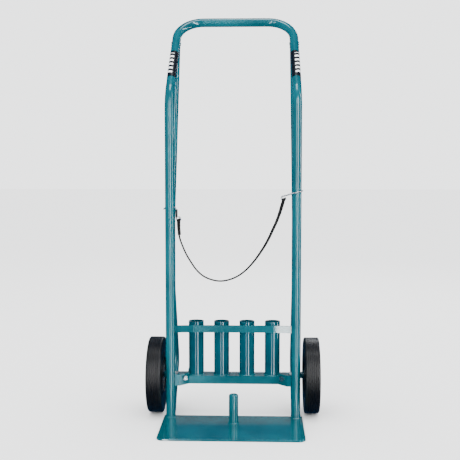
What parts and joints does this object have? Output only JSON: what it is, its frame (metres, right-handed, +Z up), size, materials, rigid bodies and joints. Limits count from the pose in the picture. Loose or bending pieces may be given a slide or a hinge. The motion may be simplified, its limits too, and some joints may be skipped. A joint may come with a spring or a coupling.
{
  "type": "demolition hammer trolley",
  "caption": "Two-wheeled hand trolley with a bent tube frame, leaning handle, toe plate with a locating peg, a rack of open chisel tubes and a hooked elastic strap.",
  "frame": {"origin": "on the floor, under the centre of the whole trolley's box", "axes": "+Z up, -Y is the toe plate's side, +X runs to the right along the axle as seen from the toe plate"},
  "size_m": [0.495, 0.448, 1.1379],
  "materials": {
    "frame_enamel": "glossy petrol enamel over steel tube",
    "tube_enamel": "glossy petrol enamel, dark inside",
    "zinc_steel": "bright zinc plate",
    "bush_bronze": "sintered bronze",
    "solid_tyre": "matt black rubber",
    "elastic_strap": "matt woven cover"
  },
  "bodies": {
    "frame": {"main_tube": "frame_enamel", "left_stay": "frame_enamel", "right_stay": "frame_enamel", "toe_plate": "frame_enamel", "locating_peg": "frame_enamel", "rack_bar": "frame_enamel", "rack_ledge": "frame_enamel", "chisel_tube_1": "tube_enamel", "chisel_tube_2": "tube_enamel", "chisel_tube_3": "tube_enamel", "chisel_tube_4": "tube_enamel", "left_axle_web": "frame_enamel", "right_axle_web": "frame_enamel", "left_axle_bracket": "frame_enamel", "right_axle_bracket": "frame_enamel", "bracket_bolts": "zinc_steel", "bracket_nuts": "zinc_steel", "axle": "zinc_steel", "axle_spacers": "tube_enamel", "axle_washers": "zinc_steel", "split_pins": "zinc_steel", "strap": "elastic_strap", "left_hook": "zinc_steel", "right_hook": "zinc_steel"},
    "left_wheel": {"left_tyre": "solid_tyre", "left_inner_rim": "zinc_steel", "left_outer_rim": "zinc_steel", "left_hub": "zinc_steel", "left_hub_bushes": "bush_bronze", "left_rim_bolts": "zinc_steel"},
    "right_wheel": {"right_tyre": "solid_tyre", "right_inner_rim": "zinc_steel", "right_outer_rim": "zinc_steel", "right_hub": "zinc_steel", "right_hub_bushes": "bush_bronze", "right_rim_bolts": "zinc_steel"}
  },
  "joints": [
    {"name": "left_wheel_spin", "type": "hinge", "parent": "frame", "child": "left_wheel", "pos_m": [-0.2205, 0.046, 0.107], "axis": [1, 0, 0], "continuous": true},
    {"name": "right_wheel_spin", "type": "hinge", "parent": "frame", "child": "right_wheel", "pos_m": [0.2205, 0.046, 0.107], "axis": [1, 0, 0], "continuous": true}
  ]
}
